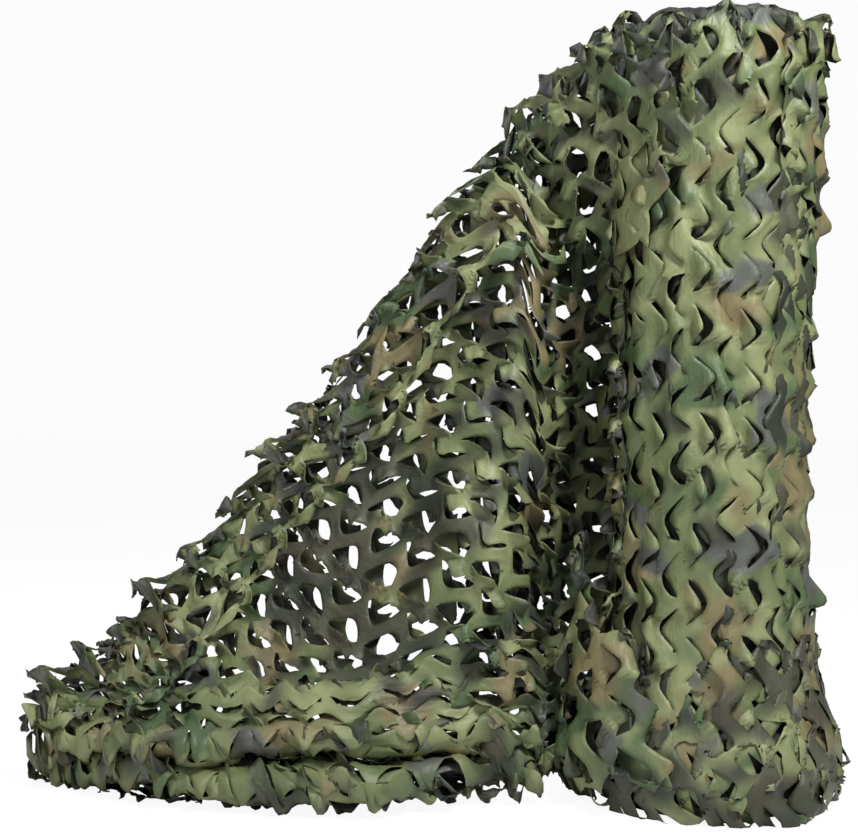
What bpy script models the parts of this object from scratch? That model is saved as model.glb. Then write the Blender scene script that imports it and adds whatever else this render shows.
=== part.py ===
"""Camouflage netting: a bulk roll stood on its end, with its loose end pulled off and let down.

The outermost turn leaves the roll at its left side. It runs back into a valley, comes forward
as a standing fold, and then falls away to the left, where its width lies on the floor
in back-and-forth folds. +Z is up, the roll's axis is Z, and the origin is on the floor.
"""

import math

import bmesh
import bpy
import numpy as np

# Driving dimensions, in metres
NET_WIDTH = 1.50           # cut width of the netting, which is the roll's height
ROLL_RADIUS = 0.186        # roll at its slim middle
TURN_STEP = 0.010          # height of the step where the last turn leaves the roll
CLOTH = 0.002              # thickness of the loose end
JOIN_GAP = 0.0007          # between the step and the loose end's root
LEAF_PITCH_ALONG = 0.090   # repeat of the cut leaves along the netting
LEAF_PITCH_ACROSS = 0.100  # repeat of the cut leaves across its width

# Resolution
ROLL_SIDES = 56
ROLL_ROWS = 30
COLUMNS_PER_LEAF = 2
ROWS_PER_LEAF = 3
LEAVES_ALONG = 18
LEAVES_ACROSS = 15

# The roll from the floor up: its splayed foot, slim middle and fuller top
ROLL_OUTLINE = (
    # height as a share of the net's width, radius as a share of the middle's
    (0.00, 1.22),
    (0.02, 1.30),
    (0.05, 1.35),
    (0.08, 1.34),
    (0.12, 1.22),
    (0.16, 1.12),
    (0.21, 1.06),
    (0.28, 1.02),
    (0.40, 1.00),
    (0.70, 0.99),
    (0.80, 1.02),
    (0.87, 1.06),
    (0.93, 1.11),
    (0.97, 1.12),
    (0.99, 1.08),
    (1.00, 1.02),
)
LOBE = 0.004               # slow waves of the wound layers round the roll
LEAF_RELIEF = 0.0035       # how far the leaves stand out of the roll
TOP_RIM = 0.22             # width of the rolled-over top rim as a share of the radius
TOP_DISH = 0.012           # the wound middle lies this far below the rim

# Sections of the loose end, from the roll to its far tip
SECTION_COLUMNS = (
    "along",               # where the section is along the top edge
    "x_top", "x_foot",     # place of its top and of its foot
    "z_top", "z_lip",      # height of the top edge and of the upper floor fold
    "y_top", "y_waist", "y_knee", "y_lip",   # the hanging cloth from its top edge to that fold
    "width",               # the cloth there as a share of the cut width, slack or stretched
)
SECTIONS = (
    (0.00, -0.186, -0.186, 1.485, 0.090, 0.000, 0.000, 0.000, 0.000, 0.95),
    (0.08, -0.212, -0.216, 1.475, 0.085, 0.070, 0.120, 0.100, 0.040, 0.96),
    (0.17, -0.262, -0.262, 1.445, 0.095, 0.105, 0.125, 0.140, 0.020, 1.00),
    (0.26, -0.318, -0.300, 1.400, 0.120, 0.115, 0.050, 0.150, -0.010, 1.03),
    (0.32, -0.352, -0.328, 1.362, 0.150, 0.118, -0.055, 0.120, -0.045, 1.06),
    (0.38, -0.395, -0.360, 1.320, 0.180, 0.120, -0.070, -0.040, -0.080, 1.09),
    (0.52, -0.495, -0.468, 1.195, 0.205, 0.125, -0.040, -0.110, -0.130, 1.08),
    (0.67, -0.600, -0.600, 1.055, 0.200, 0.130, 0.030, -0.060, -0.160, 1.04),
    (0.82, -0.700, -0.730, 0.890, 0.190, 0.135, 0.060, -0.020, -0.170, 1.00),
    (0.97, -0.810, -0.850, 0.750, 0.180, 0.135, 0.070, 0.000, -0.165, 1.00),
    (1.12, -0.930, -0.960, 0.600, 0.170, 0.140, 0.075, 0.010, -0.150, 0.98),
    (1.27, -1.050, -1.070, 0.455, 0.160, 0.140, 0.075, 0.020, -0.120, 0.93),
    (1.41, -1.170, -1.170, 0.340, 0.145, 0.135, 0.070, 0.030, -0.075, 0.84),
    (1.55, -1.285, -1.265, 0.235, 0.120, 0.125, 0.075, 0.040, -0.015, 0.70),
    (1.67, -1.390, -1.335, 0.165, 0.090, 0.110, 0.080, 0.055, 0.030, 0.56),
)
WAIST_SHARE = 0.55         # heights of waist and knee between the lip and the top edge
KNEE_SHARE = 0.20
CURL_BACK = 0.050          # the top edge rolls over backwards by this much
CURL_DOWN = 0.035
CURL_START = 0.25          # distance from the roll at which the top edge is fully rolled over
FLARE_FADE = 0.25          # the roll's flare dies out this far along the loose end
BILLOW = 0.006             # unevenness of the hanging cloth
BILLOW_WAVES = 21.0        # per metre x 2 pi

# Floor folds: level of each layer as a share of the lip's height
LAYER_LEVELS = (1.0, 0.64, 0.41, 0.22)
TURN_DEPTH = 0.3           # how much of a fold's depth its rounded edge takes
SHALLOW_FOLD = 0.05        # a fold of less depth than this lies straight
FOLD_SHIFT = 0.022         # how far the folds' edges wander
FOLD_WAVES = (             # one row for each wandering edge
    # per metre x 2 pi, phase
    (5.1, 0.4),
    (6.3, 2.1),
    (4.4, 4.0),
)
CURVE_STEPS = 600          # fine steps used to space points evenly on a section
SAME_PLACE = 0.001         # points of a section closer than this are one


def limited_slopes(xs, values):
    """Slopes of a smooth curve that never overshoots its points."""
    spans = np.diff(xs)
    rises = np.diff(values) / spans
    slopes = np.zeros(len(xs))
    slopes[0] = rises[0]
    slopes[-1] = rises[-1]
    for k in range(1, len(xs) - 1):
        before, after = rises[k - 1], rises[k]
        if before * after > 0:
            slopes[k] = 2 * before * after / (before + after)
    return slopes


def smooth_curve(x, xs, values):
    """Value at x of the smooth curve through the points, held at its ends."""
    xs = np.asarray(xs, float)
    values = np.asarray(values, float)
    slopes = limited_slopes(xs, values)
    x = np.clip(x, xs[0], xs[-1])
    k = np.clip(np.searchsorted(xs, x) - 1, 0, len(xs) - 2)
    span = xs[k + 1] - xs[k]
    t = (x - xs[k]) / span
    start = (2 * t**3 - 3 * t**2 + 1) * values[k] + (t**3 - 2 * t**2 + t) * span * slopes[k]
    end = (3 * t**2 - 2 * t**3) * values[k + 1] + (t**3 - t**2) * span * slopes[k + 1]
    return start + end


def roll_radius(z):
    """The roll's outline at a height."""
    heights, radii = zip(*ROLL_OUTLINE)
    return ROLL_RADIUS * float(smooth_curve(z / NET_WIDTH, heights, radii))


def roll_surface_radius(z, turn):
    """Radius at a height. turn is 0 where the last turn leaves the roll and 1 a full turn back."""
    angle = 2 * math.pi * turn
    away_from_step = math.sin(math.pi * turn) ** 2
    lobes = LOBE * (math.sin(3 * angle + 4.0 * z) + 0.7 * math.sin(5 * angle - 7.0 * z + 1.0))
    leaves_round = round(2 * math.pi * ROLL_RADIUS / LEAF_PITCH_ALONG)
    leaf = math.cos(leaves_round * angle) * math.cos(2 * math.pi * z / LEAF_PITCH_ACROSS)
    spiral = TURN_STEP * (0.5 - turn)
    return roll_radius(z) + spiral + away_from_step * (lobes + LEAF_RELIEF * leaf)


def fresh_scene():
    for obj in list(bpy.data.objects):
        bpy.data.objects.remove(obj, do_unlink=True)
    group = bpy.data.collections.new("camouflage_netting")
    bpy.context.scene.collection.children.link(group)
    return group


def material(name, colour, roughness):
    made = bpy.data.materials.new(name)
    made.use_nodes = True
    shader = made.node_tree.nodes["Principled BSDF"]
    shader.inputs["Base Color"].default_value = (*colour, 1.0)
    shader.inputs["Roughness"].default_value = roughness
    shader.inputs["Metallic"].default_value = 0.0
    return made


def add_object(group, name, bm, finish):
    mesh = bpy.data.meshes.new(name)
    bm.normal_update()
    bm.to_mesh(mesh)
    bm.free()
    mesh.shade_smooth()
    mesh.set_sharp_from_angle(angle=math.radians(50))
    mesh.materials.append(finish)
    obj = bpy.data.objects.new(name, mesh)
    group.objects.link(obj)
    return obj


def build_roll(group, finish):
    """A unit cylinder whose rings are put on the wound outline. Two columns share the step's angle."""
    bm = bmesh.new()
    columns = ROLL_SIDES + 1
    bmesh.ops.create_cone(bm, cap_ends=True, segments=columns, radius1=1, radius2=1, depth=NET_WIDTH)
    upright = [edge for edge in bm.edges if abs(edge.verts[0].co.z - edge.verts[1].co.z) > NET_WIDTH / 2]
    bmesh.ops.subdivide_edges(bm, edges=upright, cuts=ROLL_ROWS - 1, use_grid_fill=True)
    top = [face for face in bm.faces if face.calc_center_median().z > 0.499 * NET_WIDTH]
    bmesh.ops.inset_region(bm, faces=top, thickness=TOP_RIM)
    for vert in bm.verts:
        share = math.hypot(vert.co.x, vert.co.y)
        column = round(math.atan2(vert.co.y, vert.co.x) / (2 * math.pi) * columns) % columns
        turn = column / ROLL_SIDES
        z = vert.co.z + NET_WIDTH / 2
        radius = roll_surface_radius(z, turn) * share
        angle = math.pi + 2 * math.pi * turn
        dish = TOP_DISH * (share < 1 - TOP_RIM / 2)
        vert.co = (radius * math.cos(angle), radius * math.sin(angle), z - dish)
    return add_object(group, "roll", bm, finish)


def section(along):
    """The named values of one section of the loose end."""
    columns = np.array(SECTIONS).T
    return {name: float(smooth_curve(along, columns[0], values))
            for name, values in zip(SECTION_COLUMNS, columns)}


def fold_turn(edge, inward, upper, lower, depth):
    """Three points of a fold's edge, where the cloth turns from its upper to its lower layer."""
    back_off = inward * min(TURN_DEPTH * depth, 0.6 * (upper - lower))
    return [(edge + back_off, upper), (edge, (upper + lower) / 2), (edge + back_off, lower)]


def section_line(s):
    """Side view (y, z) of one section, from its top edge down to its last layer on the floor."""
    rise = s["z_top"] - s["z_lip"]
    curl = min(1.0, s["along"] / CURL_START)
    levels = [s["z_lip"] * share for share in LAYER_LEVELS] + [CLOTH / 2]
    hanging = [
        (s["y_top"] + CURL_BACK * curl, s["z_top"] - CURL_DOWN * curl),
        (s["y_top"], s["z_top"]),
        (s["y_waist"], s["z_lip"] + WAIST_SHARE * rise),
        (s["y_knee"], s["z_lip"] + KNEE_SHARE * rise),
        (s["y_lip"], s["z_lip"]),
    ]
    hanging_length = np.linalg.norm(np.diff(np.array(hanging), axis=0), axis=1).sum()
    slack = NET_WIDTH * s["width"] - hanging_length - s["z_lip"]
    depth = max(0.0, slack / len(LAYER_LEVELS))
    folded = min(1.0, depth / SHALLOW_FOLD)
    shifts = [FOLD_SHIFT * folded * math.sin(rate * s["along"] + phase) for rate, phase in FOLD_WAVES]
    front = s["y_lip"]
    back = s["y_lip"] + depth
    line = hanging[:-1]
    line += fold_turn(front, 1, levels[0], levels[1], depth)
    line += fold_turn(back, -1, levels[1], levels[2], depth)
    line += fold_turn(front + shifts[0], 1, levels[2], levels[3], depth)
    line += fold_turn(back + shifts[1], -1, levels[3], levels[4], depth)
    line.append((front + shifts[2] + FOLD_SHIFT * folded, levels[4]))
    return np.array(line)


def even_points(points, count):
    """Points at equal distances along a smooth curve through the given ones."""
    kept = [points[0]]
    for point in points[1:]:
        if np.linalg.norm(point - kept[-1]) > SAME_PLACE:
            kept.append(point)
    kept = np.array(kept)
    at = np.concatenate([[0], np.cumsum(np.linalg.norm(np.diff(kept, axis=0), axis=1))])
    fine_at = np.linspace(0, at[-1], CURVE_STEPS)
    fine = np.stack([smooth_curve(fine_at, at, kept[:, k]) for k in range(2)], axis=1)
    run = np.concatenate([[0], np.cumsum(np.linalg.norm(np.diff(fine, axis=0), axis=1))])
    even = np.linspace(0, run[-1], count)
    return np.stack([np.interp(even, run, fine[:, k]) for k in range(2)], axis=1)


def loose_end_point(s, y, z):
    """Adds x to a section's (y, z): the foot is set off from the top, and the root keeps the flare."""
    below_top = min(1.0, max(0.0, (s["z_top"] - z) / s["z_top"]))
    x = s["x_top"] + (s["x_foot"] - s["x_top"]) * below_top
    flare = roll_radius(max(z, 0.0)) - ROLL_RADIUS
    x -= flare * max(0.0, 1 - s["along"] / FLARE_FADE)
    above_lip = min(1.0, max(0.0, (z - s["z_lip"]) / (s["z_top"] - s["z_lip"])))
    away_from_roll = min(1.0, s["along"] / FLARE_FADE)
    waves = math.sin(BILLOW_WAVES * x) + math.sin(BILLOW_WAVES * (0.7 * z - 0.5 * x))
    y += BILLOW * waves * math.sin(math.pi * above_lip) * away_from_roll
    return x, y, max(z, CLOTH / 2)


def build_loose_end(group, finish):
    """A grid laid on the sections, with one gap cut through in each leaf, then given its thickness."""
    columns = COLUMNS_PER_LEAF * LEAVES_ALONG
    rows = ROWS_PER_LEAF * LEAVES_ACROSS
    bm = bmesh.new()
    bmesh.ops.create_grid(bm, x_segments=columns, y_segments=rows, size=0.5)
    gaps = []
    for face in bm.faces:
        centre = face.calc_center_median()
        column = int((centre.x + 0.5) * columns)
        row = int((centre.y + 0.5) * rows)
        leaf_row = row // ROWS_PER_LEAF
        in_leaf = row % ROWS_PER_LEAF == 1 and (column + leaf_row) % COLUMNS_PER_LEAF == 1
        if in_leaf and 0 < column < columns - 1:
            gaps.append(face)
    sections = []
    for column in range(columns + 1):
        s = section(SECTIONS[-1][0] * column / columns)
        sections.append((s, even_points(section_line(s), rows + 1)))
    for vert in bm.verts:
        column = round((vert.co.x + 0.5) * columns)
        row = rows - round((vert.co.y + 0.5) * rows)
        s, points = sections[column]
        x, y, z = loose_end_point(s, *points[row])
        vert.co = (x, y + JOIN_GAP * (column == 0), z)
    bmesh.ops.delete(bm, geom=gaps, context="FACES_ONLY")
    obj = add_object(group, "loose_end", bm, finish)
    thicken = obj.modifiers.new("cloth", "SOLIDIFY")
    thicken.thickness = CLOTH
    thicken.offset = 0.0
    return obj


def main():
    group = fresh_scene()
    netting = material("netting", (0.20, 0.25, 0.13), 0.55)
    build_roll(group, netting)
    build_loose_end(group, netting)


main()
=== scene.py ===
import math

import bpy
import numpy as np
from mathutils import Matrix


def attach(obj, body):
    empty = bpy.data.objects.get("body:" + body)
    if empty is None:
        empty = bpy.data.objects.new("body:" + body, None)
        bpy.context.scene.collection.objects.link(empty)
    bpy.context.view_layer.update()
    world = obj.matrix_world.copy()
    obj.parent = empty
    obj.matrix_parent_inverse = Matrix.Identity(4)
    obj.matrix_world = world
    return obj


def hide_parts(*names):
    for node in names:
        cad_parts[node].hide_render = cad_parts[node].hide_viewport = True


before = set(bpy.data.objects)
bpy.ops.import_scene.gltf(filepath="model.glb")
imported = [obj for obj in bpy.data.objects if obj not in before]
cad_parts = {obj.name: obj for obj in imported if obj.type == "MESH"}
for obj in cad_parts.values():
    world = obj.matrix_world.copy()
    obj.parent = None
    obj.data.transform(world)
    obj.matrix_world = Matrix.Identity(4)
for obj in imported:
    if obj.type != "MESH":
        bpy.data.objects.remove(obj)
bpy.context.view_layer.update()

# Camouflage netting, leaf-cut: one thin coated cloth, slit in rows and pulled open.
# The roll stands at x = y = 0. The loose end comes round its front, runs to the left (-x)
# and hangs from a top edge that slopes down to the floor. Metres, +z up, -y is the front.

netWidth = 1.50        # stands upright on the roll
rollRadius = 0.186     # at the roll's slim middle
turnStep = 0.010       # step where the last turn leaves the roll
clothHalf = 0.0003     # half of the cloth's thickness
floorGap = 0.0008      # nothing comes nearer to the floor
fadeSteps = 4          # faces over which the darkening of a turned leaf fades, painted shade where it lies in recesses

leafCut = {
    "along": 0.098,      # repeat of the cut along the netting, lying flat
    "across": 0.102,     # repeat across its width
    "neck": 0.10,        # half of an uncut neck, as a share of the repeat across
    "rounding": 0.012,   # how round the points of the slits are
    "swing": 1.25,       # how far the slits swing to the side, as a share of a ribbon's width
    "roundingSteps": 9,
}


def limitedSlopes(xs, values):
    rises = np.diff(values) / np.diff(xs)
    before, after = rises[:-1], rises[1:]
    same = before * after > 0
    inner = np.where(same, 2 * before * after / np.where(same, before + after, 1), 0)
    return np.concatenate([rises[:1], inner, rises[-1:]])


# a smooth curve through the values that never swings past them
def smoothCurve(x, xs, values):
    xs = np.asarray(xs, float)
    values = np.asarray(values, float)
    slopes = limitedSlopes(xs, values)
    x = np.clip(x, xs[0], xs[-1])
    k = np.clip(np.searchsorted(xs, x) - 1, 0, len(xs) - 2)
    span = xs[k + 1] - xs[k]
    t = (x - xs[k]) / span
    start = (2 * t**3 - 3 * t**2 + 1) * values[k] + (t**3 - 2 * t**2 + t) * span * slopes[k]
    end = (3 * t**2 - 2 * t**3) * values[k + 1] + (t**3 - t**2) * span * slopes[k + 1]
    return start + end


rollOutline = (
    # height as a share of the width, radius as a share of the middle's
    (0.00, 1.22), (0.02, 1.30), (0.05, 1.35), (0.08, 1.34), (0.12, 1.22), (0.16, 1.12),
    (0.21, 1.06), (0.28, 1.02), (0.40, 1.00), (0.70, 0.99), (0.80, 1.02), (0.87, 1.06),
    (0.93, 1.11), (0.97, 1.12), (0.99, 1.08), (1.00, 1.02),
)
rollLobe = 0.004       # how far the roll is from round


def rollProfile(z):
    heights, radii = zip(*rollOutline)
    return rollRadius * smoothCurve(np.asarray(z) / netWidth, heights, radii)


# Points round the roll's axis. Turn is 0 where the last turn leaves the roll at the left, 0.25 in front.
def aroundAxis(turn, radius, z):
    angle = 2 * np.pi * turn
    return np.stack([-radius * np.cos(angle), -radius * np.sin(angle), z + 0 * radius], -1)


# A place on the wound roll
def rollSurface(turn, z, inset=0.0):
    turn = np.asarray(turn, float)
    angle = 2 * np.pi * turn
    lobes = rollLobe * (np.sin(3 * angle + 4 * z) + 0.7 * np.sin(5 * angle - 7 * z + 1))
    radius = rollProfile(z) + turnStep * (0.5 - turn) + np.sin(np.pi * turn) ** 2 * lobes - inset
    return aroundAxis(turn, radius, z)


# Moves points out from the roll's axis until they are at least gap outside its surface
def clearOfRoll(places, gap):
    z = np.clip(places[:, 2], 0, netWidth)
    radius = np.linalg.norm(places[:, :2], axis=1)
    turn = (np.arctan2(-places[:, 1], -places[:, 0]) / (2 * np.pi)) % 1.0
    surface = np.linalg.norm(rollSurface(turn, z)[:, :2], axis=1) + gap
    wanted = np.maximum(radius, surface)
    places[:, :2] *= (wanted / np.maximum(radius, 1e-6))[:, None]
    places[:, 2] = np.maximum(places[:, 2], floorGap)
    return places


# A flat net of ribbons between zigzag slits, which share points only at the uncut necks.
# Each leaf is the piece of a ribbon between two necks. Size scales the whole cut.
def slitNet(cellsAlong, cellsAcross, size=1.0, perRibbon=4, perCell=12):
    ribbonWidth = size * leafCut["along"] / 2
    across = size * leafCut["across"]
    rows = cellsAcross * perCell
    ys = np.arange(rows + 1) * across / perCell
    steps = np.linspace(-1, 1, leafCut["roundingSteps"]) * size * leafCut["rounding"]
    shares = ((ys[:, None] + steps) / across) % 1.0
    zigzag = leafCut["swing"] * ribbonWidth * (1 - np.abs(2 * shares - 1)).mean(axis=1)
    phase = np.round((np.arange(rows + 1) / perCell) % 1.0, 6)
    necks = (np.abs(phase - 0.5) <= leafCut["neck"] + 1e-6,
             np.minimum(phase, 1 - phase) <= leafCut["neck"] + 1e-6)
    ribbons = 2 * cellsAlong
    flat = []
    index = np.zeros((ribbons, perRibbon + 1, rows + 1), int)
    for ribbon in range(ribbons):
        for step in range(perRibbon + 1):
            x = ribbonWidth * (ribbon + step / perRibbon)
            for row in range(rows + 1):
                if step == 0 and ribbon > 0 and necks[ribbon % 2][row]:
                    index[ribbon, step, row] = index[ribbon - 1, perRibbon, row]
                    continue
                index[ribbon, step, row] = len(flat)
                flat.append((x + zigzag[row], ys[row]))
    corners = (index[:, :-1, :-1], index[:, 1:, :-1], index[:, 1:, 1:], index[:, :-1, 1:])
    half = perCell // 2
    leaves = np.arange(ribbons)[:, None, None] * (rows // half) + (np.arange(rows) // half)[None, None, :]
    return {
        "flat": np.array(flat),
        "quads": np.stack(corners, -1).reshape(-1, 4),
        "leaves": np.broadcast_to(leaves, (ribbons, perRibbon, rows)).ravel(),
        "leavesDown": rows // half,
        "pins": index[1::2, perRibbon // 2][:, np.flatnonzero(np.isclose(phase, 0.25))].ravel(),
        "tabRoots": index[0::2, perRibbon // 2, half],
    }


# Leaves lean by turns this way and that, which tells the cloth which way its slits open
def leafLean(flat, size=1.0, phase=0.0):
    return (np.sin(2 * np.pi * flat[:, 0] / size / leafCut["along"] + phase)
            * np.cos(2 * np.pi * flat[:, 1] / size / leafCut["across"]))


# The middle of each leaf, as a row for each coordinate
def leafMiddles(net, places):
    middles = places[net["quads"]].mean(axis=1)
    sizes = np.maximum(np.bincount(net["leaves"]), 1)
    return np.array([np.bincount(net["leaves"], column) / sizes for column in middles.T])


# Keeps the leaves whose middle passes the test, and the points they use. A stepped net has every
# second ribbon cut back by a leaf at its first row, which leaves pointed tabs held at their roots.
def cutLeaves(net, plane, wanted, stepped):
    kept = wanted(*leafMiddles(net, plane))
    pins = net["pins"]
    if stepped:
        ribbon, place = np.divmod(np.arange(len(kept)), net["leavesDown"])
        kept &= ~((ribbon % 2 == 1) & (place == 0))
        pins = np.concatenate([pins, net["tabRoots"]])
    quads = net["quads"][kept[net["leaves"]]]
    used = np.zeros(len(plane), bool)
    used[quads] = True
    number = np.cumsum(used) - 1
    cut = {"flat": net["flat"][used], "onCloth": net["onCloth"][used], "quads": number[quads],
           "leaves": net["leaves"][kept[net["leaves"]]], "pins": number[pins[used[pins]]]}
    return cut, plane[used]


# Says of each face whether its leaf is drawn darker, as turned over to its back and as painted shade, with a
# chance that goes by the leaf's place
def leavesToDarken(net, places, chance, seed):
    x, y, z = leafMiddles(net, places)
    drawn = np.random.default_rng(seed).uniform(size=len(x)) < chance(x, y, z)
    return drawn[net["leaves"]]


def newMesh(name, points, faces):
    mesh = bpy.data.meshes.new(name)
    mesh.from_pydata(points, [], faces)
    return mesh


def newObject(name, data):
    obj = bpy.data.objects.new(name, data)
    bpy.context.scene.collection.objects.link(obj)
    return obj


# A map of the cloth, with a place for each corner of each face
def addMap(mesh, name, corners):
    layer = mesh.uv_layers.new(name=name)
    layer.data.foreach_set("uv", corners.astype(np.float32).ravel())


coatedCloth = {
    "quality": 5, "mass": 0.15, "tension_stiffness": 60, "compression_stiffness": 60,
    "shear_stiffness": 30, "tension_damping": 5, "compression_damping": 5, "shear_damping": 5,
    "bending_damping": 0.5, "air_damping": 3,
}


# The pins carry the net from where it starts to where it is pulled to, and the cloth follows
def pullOpen(start, pulled, net, pull):
    frames, pullFrames, bending, gravity = pull
    scene = bpy.context.scene
    mesh = newMesh("pulledNet", start.tolist(), net["quads"].tolist())
    obj = newObject("pulledNet", mesh)
    obj.shape_key_add(name="Basis")
    key = obj.shape_key_add(name="pulled")
    key.data.foreach_set("co", pulled.astype(np.float32).ravel())
    key.value = 0
    key.keyframe_insert("value", frame=1)
    key.value = 1
    key.keyframe_insert("value", frame=pullFrames)
    pins = obj.vertex_groups.new(name="pins")
    pins.add([int(pin) for pin in net["pins"]], 1.0, "REPLACE")
    cloth = obj.modifiers.new("cloth", "CLOTH")
    for name, value in coatedCloth.items():
        setattr(cloth.settings, name, value)
    cloth.settings.bending_stiffness = bending
    cloth.settings.vertex_group_mass = "pins"
    cloth.collision_settings.use_collision = False
    cloth.point_cache.frame_end = frames
    scene.gravity = gravity
    for step in range(1, frames + 1):
        scene.frame_set(step)
    settled = obj.evaluated_get(bpy.context.evaluated_depsgraph_get()).to_mesh()
    places = np.empty(len(settled.vertices) * 3)
    settled.vertices.foreach_get("co", places)
    bpy.data.objects.remove(obj, do_unlink=True)
    bpy.data.meshes.remove(mesh)
    scene.gravity = (0, 0, -9.81)
    scene.frame_set(1)
    return places.reshape(-1, 3)


# The cross product of each face's diagonals
def crossed(places, quads):
    return np.cross(places[quads[:, 2]] - places[quads[:, 0]], places[quads[:, 3]] - places[quads[:, 1]])


def pointNormals(places, quads):
    twiceAreas = crossed(places, quads)
    normals = np.zeros_like(places)
    for corner in range(4):
        np.add.at(normals, quads[:, corner], twiceAreas)
    return normals / np.maximum(np.linalg.norm(normals, axis=1, keepdims=True), 1e-12)


# Turns a yes or no of each face into a share at each point, which fades out
def softened(marked, quads, count):
    shares = marked.astype(float)
    uses = np.maximum(np.bincount(quads.ravel(), minlength=count), 1)
    for _ in range(fadeSteps):
        atPoints = np.bincount(quads.ravel(), np.repeat(shares, 4), count) / uses
        shares = atPoints[quads].mean(axis=1)
    return atPoints


# Gives the net its two faces and cut edges, and puts its flat cut into the maps
def netObject(name, places, net, printShift, turned):
    quads, flat = net["quads"], net["flat"]
    normals = pointNormals(places, quads)
    count = len(places)
    points = np.concatenate([places + clothHalf * normals, places - clothHalf * normals])
    points[:, 2] = np.maximum(points[:, 2], floorGap)
    edges = np.concatenate([quads[:, [a, (a + 1) % 4]] for a in range(4)])
    ordered = np.sort(edges, axis=1)
    _, first, uses = np.unique(ordered[:, 0] * count + ordered[:, 1], return_index=True, return_counts=True)
    rim = edges[first[uses == 1]]
    rimQuads = np.stack([rim[:, 1], rim[:, 0], rim[:, 0] + count, rim[:, 1] + count], 1)
    faces = np.concatenate([quads, rimQuads, quads[:, [0, 3, 2, 1]] + count])
    isBack = np.repeat([0, 1], [len(quads) + len(rimQuads), len(quads)])
    mesh = newMesh(name, points.tolist(), faces.tolist())
    for made in netFinishes:
        mesh.materials.append(made)
    mesh.polygons.foreach_set("material_index", isBack.astype(np.int32))
    # a share at each point of how far its leaf is darkened, as turned over and as painted shade
    undersideShade = mesh.attributes.new("undersideShade", "FLOAT", "POINT")
    undersideShade.data.foreach_set("value", np.tile(softened(turned, quads, count), 2).astype(np.float32))
    corners = np.tile(flat, (2, 1))[faces.ravel()]
    addMap(mesh, "cloth", corners + printShift)
    low = flat.min(axis=0)
    bake = (corners - low) / (flat.max(axis=0) - low).max() * 0.48
    bake[:, 0] += 0.5 * np.repeat(isBack, 4)
    addMap(mesh, "OFBake", bake)
    mesh.update()
    mesh.shade_smooth()
    obj = newObject(name, mesh)
    return obj


# a colour as a screen shows it, 0 to 255, turned into the shader's linear one
def linear(red, green, blue):
    shares = [value / 255 for value in (red, green, blue)]
    return (*[share / 12.92 if share <= 0.04045 else ((share + 0.055) / 1.055) ** 2.4 for share in shares], 1)


# Sockets are given values, or other nodes' outputs to link to
def addNode(tree, kind, x, y, sockets=None, **values):
    node = tree.nodes.new("ShaderNode" + kind)
    node.location = (x, y)
    for name, value in values.items():
        setattr(node, name, value)
    for name, value in (sockets or {}).items():
        if isinstance(value, bpy.types.NodeSocket):
            tree.links.new(value, node.inputs[name])
        else:
            node.inputs[name].default_value = value
    return node


def newGroup(name, inputs, outputs):
    tree = bpy.data.node_groups.new(name, "ShaderNodeTree")
    for label, kind, value in inputs:
        socket = tree.interface.new_socket(label, in_out="INPUT", socket_type=kind)
        if value is not None:
            socket.default_value = value
    for label, kind in outputs:
        tree.interface.new_socket(label, in_out="OUTPUT", socket_type=kind)
    start = tree.nodes.new("NodeGroupInput")
    end = tree.nodes.new("NodeGroupOutput")
    start.location = (-1200, 0)
    end.location = (1300, 0)
    return tree, start, end


printColours = ("Ground", "Light", "Deep", "Tan", "Dark")
printLayers = (
    # colour, where its patches lie, how much of the cloth they leave, softness of their edges
    ("Light", (0.0, 0.0, 3.1), 0.51, 0.070),
    ("Deep", (2.7, 1.3, 7.7), 0.56, 0.065),
    ("Tan", (5.1, 4.2, 12.3), 0.62, 0.070),
    ("Dark", (8.3, 6.4, 17.9), 0.66, 0.045),
)


# lobed patches of five printed colours on the flat cloth
def patchPrint():
    inputs = [("Cloth", "NodeSocketVector", None), ("Patch", "NodeSocketFloat", 8.0)]
    inputs += [(name, "NodeSocketColor", (0.2, 0.2, 0.1, 1)) for name in printColours]
    tree, start, end = newGroup("patchPrint", inputs, [("Color", "NodeSocketColor")])
    cloth = start.outputs["Cloth"]
    warp = addNode(tree, "TexNoise", -1000, -200, {"Vector": cloth, "Scale": 14, "Detail": 1.5})
    centred = addNode(tree, "VectorMath", -820, -200,
                      {0: warp.outputs["Color"], 1: (0.5, 0.5, 0.5)}, operation="SUBTRACT")
    scaled = addNode(tree, "VectorMath", -660, -200,
                     {0: centred.outputs[0], "Scale": 0.06}, operation="SCALE")
    bent = addNode(tree, "VectorMath", -500, -100, {0: cloth, 1: scaled.outputs[0]}, operation="ADD")
    colour = start.outputs["Ground"]
    for place, (name, shift, edge, soft) in enumerate(printLayers):
        x = -300 + 380 * place
        moved = addNode(tree, "VectorMath", x, -320, {0: bent.outputs[0], 1: shift}, operation="ADD")
        noise = addNode(tree, "TexNoise", x + 90, -320, {
            "Vector": moved.outputs[0], "Scale": start.outputs["Patch"], "Detail": 1.2, "Roughness": 0.35})
        mask = addNode(tree, "MapRange", x + 180, -320, {
            "Value": noise.outputs["Fac"], "From Min": edge - soft, "From Max": edge + soft},
            interpolation_type="SMOOTHSTEP")
        mix = addNode(tree, "Mix", x + 270, 0, data_type="RGBA")
        tree.links.new(mask.outputs["Result"], mix.inputs["Factor"])
        tree.links.new(colour, mix.inputs["A"])
        tree.links.new(start.outputs[name], mix.inputs["B"])
        colour = mix.outputs["Result"]
    tree.links.new(colour, end.inputs["Color"])
    return tree


weaveLook = {
    "threads": ((1900, 260, 1), (260, 1900, 1)),   # how the noise is drawn out along and across
    "creases": (70, 24, 1),
    "threadHeight": 0.05,                          # as a share of a crease's height
    "wear": 23,
}


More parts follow.
